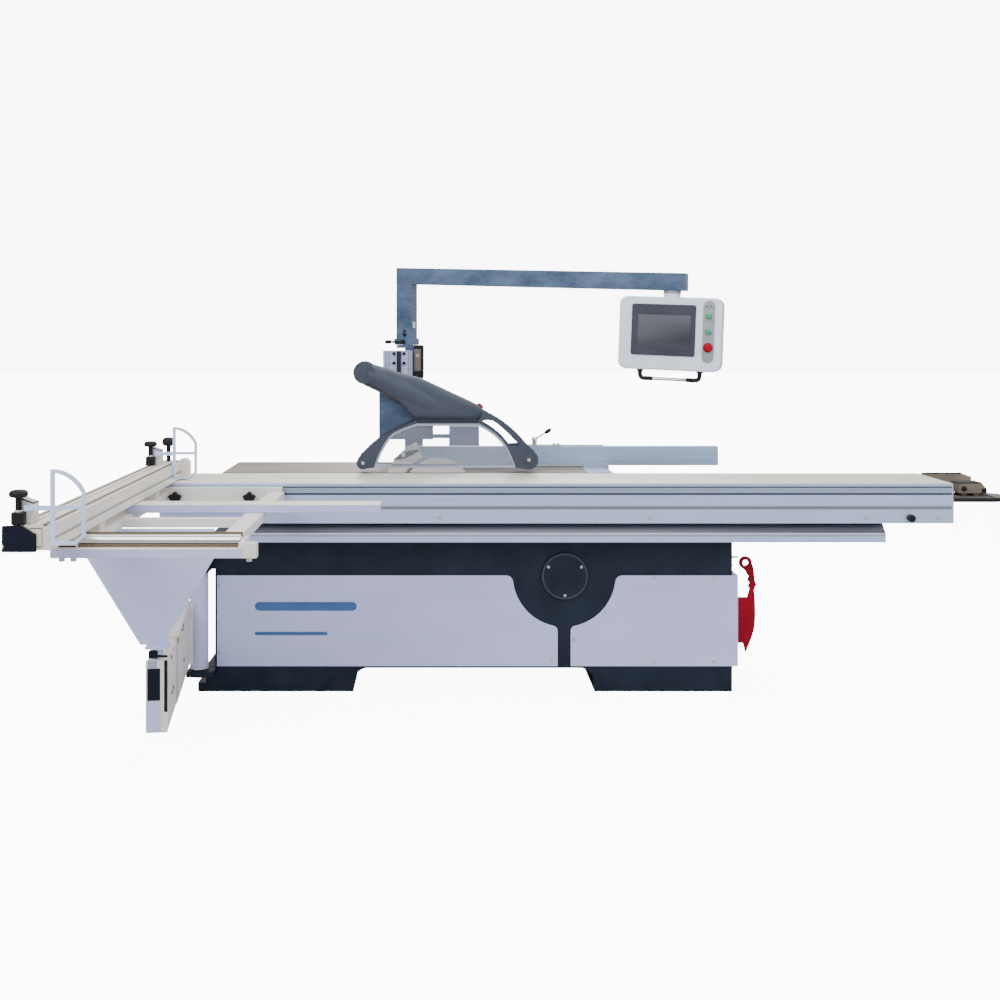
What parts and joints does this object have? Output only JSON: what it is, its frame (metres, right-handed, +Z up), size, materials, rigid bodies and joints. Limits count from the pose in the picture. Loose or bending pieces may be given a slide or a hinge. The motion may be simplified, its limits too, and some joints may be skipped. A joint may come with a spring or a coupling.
{
  "type": "panel saw",
  "caption": "Sliding-table panel saw with swing-arm outrigger, crosscut fence with flip stops, rip fence, overhead guard and swivelling touch-screen pendant.",
  "frame": {"origin": "on the floor, at the centre of the base's four floor bolts", "axes": "+X along the sliding table towards the operator's end, +Y across the machine from the sliding table to the rip fence, +Z up"},
  "size_m": [3.5305, 2.829, 1.805],
  "materials": {
    "black_paint": "satin",
    "pale_paint": "satin",
    "cream_paint": "satin",
    "slate_plastic": "moulded",
    "black_plastic": "moulded",
    "red_plastic": "moulded",
    "green_plastic": "moulded",
    "white_plastic": "moulded",
    "frame_plastic": "moulded",
    "screen_glass": "glossy",
    "clear_window": "clear",
    "anodised": "anodised",
    "cream_anodised": "anodised",
    "table_iron": "ground and oiled",
    "casting": "as cast",
    "bright_steel": "ground",
    "zinc_steel": "zinc plated",
    "mast_paint": "hammered",
    "tray_metal": "satin",
    "belt_rubber": "matte"
  },
  "bodies": {
    "machine": {"base_body": "black_paint", "front_panels": "pale_paint", "end_and_rear_covers": "pale_paint", "cover_screws": "zinc_steel", "access_disc": "black_paint", "arm_hinge_pin": "bright_steel", "push_stick_holder": "red_plastic", "fixed_beam": "anodised", "main_table": "table_iron", "fence_rail": "anodised", "support_castings": "casting", "guard_column": "mast_paint", "column_guide": "anodised"},
    "push_stick": {"push_stick": "red_plastic"},
    "roller_cage": {"roller_cage": "zinc_steel"},
    "carriage": {"sliding_table": "anodised", "carriage_bolts": "zinc_steel", "end_tray": "tray_metal", "outrigger_frame": "cream_paint", "stock_bar": "anodised", "support_plate": "pale_paint", "crosscut_fence": "cream_anodised"},
    "table_lock": {"table_lock_knob": "black_plastic"},
    "clamp_knob_left": {"clamp_knob_left": "black_plastic"},
    "clamp_knob_right": {"clamp_knob_right": "black_plastic"},
    "roller": {"front_roller": "bright_steel"},
    "extension": {"fence_extension": "cream_anodised"},
    "near_stop": {"near_stop_shoe": "cream_paint"},
    "near_flip": {"near_stop_arm": "frame_plastic"},
    "far_stop": {"far_stop_shoe": "cream_paint"},
    "far_flip": {"far_stop_arm": "frame_plastic"},
    "fence_lock": {"fence_lock_knob": "black_plastic"},
    "swing_arm": {"swing_arm": "cream_paint"},
    "arm_slide": {"arm_slide": "cream_paint"},
    "rip_fence": {"rip_fence_bar": "anodised", "rip_fence_shoe": "zinc_steel"},
    "rip_lever": {"rip_fence_lever": "bright_steel"},
    "tilt_unit": {"saw_trunnion": "casting", "scoring_motor": "casting"},
    "lift_unit": {"lift_carriage": "casting", "riving_knife": "bright_steel", "motor": "casting", "drive_belt": "belt_rubber"},
    "blade": {"main_blade": "bright_steel", "arbor_shaft": "bright_steel"},
    "motor_rotor": {"motor_pulley": "zinc_steel"},
    "scoring": {"scoring_blade": "bright_steel"},
    "guard": {"guard_arm": "mast_paint", "guard_hood": "slate_plastic", "guard_windows": "clear_window", "dust_port": "slate_plastic"},
    "hood_button": {"hood_button": "red_plastic"},
    "mast": {"mast": "mast_paint"},
    "mast_lever": {"mast_lever": "black_plastic"},
    "pendant": {"pendant_case": "white_plastic", "screen": "screen_glass", "pendant_handle": "black_plastic"},
    "start_button": {"start_button": "green_plastic"},
    "reset_button": {"reset_button": "green_plastic"},
    "emergency_stop": {"emergency_stop": "red_plastic"}
  },
  "joints": [
    {"name": "carriage_slide", "type": "slide", "parent": "machine", "child": "carriage", "axis": [1, 0, 0], "range_m": [-2.05, 1.1]},
    {"name": "roller_cage_slide", "type": "slide", "parent": "machine", "child": "roller_cage", "axis": [1, 0, 0], "range_m": [-1.03, 0.56]},
    {"name": "arm_swing", "type": "hinge", "parent": "machine", "child": "swing_arm", "pos_m": [-1.1045, -0.39, 0.3], "axis": [0, 0, 1], "range_deg": [-74, 40]},
    {"name": "arm_telescope", "type": "slide", "parent": "swing_arm", "child": "arm_slide", "axis": [0.1219, -0.9925, 0], "range_m": [0, 0.35]},
    {"name": "push_stick_lift", "type": "slide", "parent": "machine", "child": "push_stick", "axis": [0, 0, 1], "range_m": [0, 0.22]},
    {"name": "table_lock_pull", "type": "slide", "parent": "carriage", "child": "table_lock", "axis": [0, -1, 0], "range_m": [0, 0.008], "stiffness_N_per_m": 800},
    {"name": "clamp_knob_left_turn", "type": "hinge", "parent": "carriage", "child": "clamp_knob_left", "pos_m": [-1.176, -0.517, 0.82], "axis": [0, 1, 0], "range_deg": [-180, 180]},
    {"name": "clamp_knob_right_turn", "type": "hinge", "parent": "carriage", "child": "clamp_knob_right", "pos_m": [-0.88, -0.517, 0.82], "axis": [0, 1, 0], "range_deg": [-180, 180]},
    {"name": "roller_spin", "type": "hinge", "parent": "carriage", "child": "roller", "pos_m": [-0.964, -1.668, 0.848], "axis": [1, 0, 0], "continuous": true},
    {"name": "extension_slide", "type": "slide", "parent": "carriage", "child": "extension", "axis": [0, -1, 0], "range_m": [0, 0.9]},
    {"name": "near_stop_slide", "type": "slide", "parent": "carriage", "child": "near_stop", "axis": [0, 1, 0], "range_m": [0, 0.25]},
    {"name": "near_stop_flip", "type": "hinge", "parent": "near_stop", "child": "near_flip", "pos_m": [-1.259, -1.96, 0.992], "axis": [0, -1, 0], "range_deg": [0, 75]},
    {"name": "far_stop_slide", "type": "slide", "parent": "carriage", "child": "far_stop", "axis": [0, 1, 0], "range_m": [-1.1, 0.07]},
    {"name": "far_stop_flip", "type": "hinge", "parent": "far_stop", "child": "far_flip", "pos_m": [-1.259, -0.445, 0.992], "axis": [0, -1, 0], "range_deg": [0, 75]},
    {"name": "fence_lock_turn", "type": "hinge", "parent": "carriage", "child": "fence_lock", "pos_m": [-1.247, -0.315, 1], "axis": [0, 0, 1], "range_deg": [-180, 180]},
    {"name": "rip_fence_slide", "type": "slide", "parent": "machine", "child": "rip_fence", "axis": [0, 1, 0], "range_m": [-0.1, 0.15]},
    {"name": "rip_lever_turn", "type": "hinge", "parent": "rip_fence", "child": "rip_lever", "pos_m": [0.312, 0.19, 0.99], "axis": [0, 0, 1], "range_deg": [-60, 60]},
    {"name": "saw_tilt", "type": "hinge", "parent": "machine", "child": "tilt_unit", "pos_m": [0, -0.078, 0.87], "axis": [-1, 0, 0], "range_deg": [0, 45]},
    {"name": "saw_lift", "type": "slide", "parent": "tilt_unit", "child": "lift_unit", "axis": [0, 0, 1], "range_m": [-0.075, 0.012]},
    {"name": "blade_spin", "type": "hinge", "parent": "lift_unit", "child": "blade", "pos_m": [-0.129, 0, 0.788], "axis": [0, 1, 0], "continuous": true},
    {"name": "motor_spin", "type": "hinge", "parent": "lift_unit", "child": "motor_rotor", "pos_m": [-0.129, 0.088, 0.5], "axis": [0, 1, 0], "continuous": true},
    {"name": "scoring_spin", "type": "hinge", "parent": "tilt_unit", "child": "scoring", "pos_m": [0.106, 0, 0.812], "axis": [0, 1, 0], "continuous": true},
    {"name": "guard_lift", "type": "slide", "parent": "machine", "child": "guard", "axis": [0, 0, 1], "range_m": [-0.01, 0.16]},
    {"name": "hood_button_press", "type": "slide", "parent": "guard", "child": "hood_button", "axis": [-0.6691, 0, -0.7431], "range_m": [0, 0.003], "stiffness_N_per_m": 400},
    {"name": "mast_swivel", "type": "hinge", "parent": "machine", "child": "mast", "pos_m": [-0.286, 0.7, 1.45], "axis": [0, 0, 1], "range_deg": [-70, 35]},
    {"name": "mast_lever_turn", "type": "hinge", "parent": "mast", "child": "mast_lever", "pos_m": [-0.30515, 0.64738, 1.436], "axis": [0.342, 0.9397, 0], "range_deg": [-12, 40]},
    {"name": "pendant_swivel", "type": "hinge", "parent": "mast", "child": "pendant", "pos_m": [0.95439, 0.24853, 1.67551], "axis": [0.0352, -0.0128, 0.9993], "range_deg": [-60, 60]},
    {"name": "start_press", "type": "slide", "parent": "pendant", "child": "start_button", "axis": [0.342, 0.9397, 0], "range_m": [0, 0.004], "stiffness_N_per_m": 400},
    {"name": "reset_press", "type": "slide", "parent": "pendant", "child": "reset_button", "axis": [0.342, 0.9397, 0], "range_m": [0, 0.004], "stiffness_N_per_m": 400},
    {"name": "emergency_stop_press", "type": "slide", "parent": "pendant", "child": "emergency_stop", "axis": [0.342, 0.9397, 0], "range_m": [0, 0.004], "stiffness_N_per_m": 500}
  ],
  "couplings": [
    {"joint": "roller_cage_slide", "follows": "carriage_slide", "ratio": 0.5},
    {"joint": "arm_swing", "follows": "carriage_slide", "rad_per_m": 0.62},
    {"joint": "motor_spin", "follows": "blade_spin", "ratio": 0.6283}
  ]
}
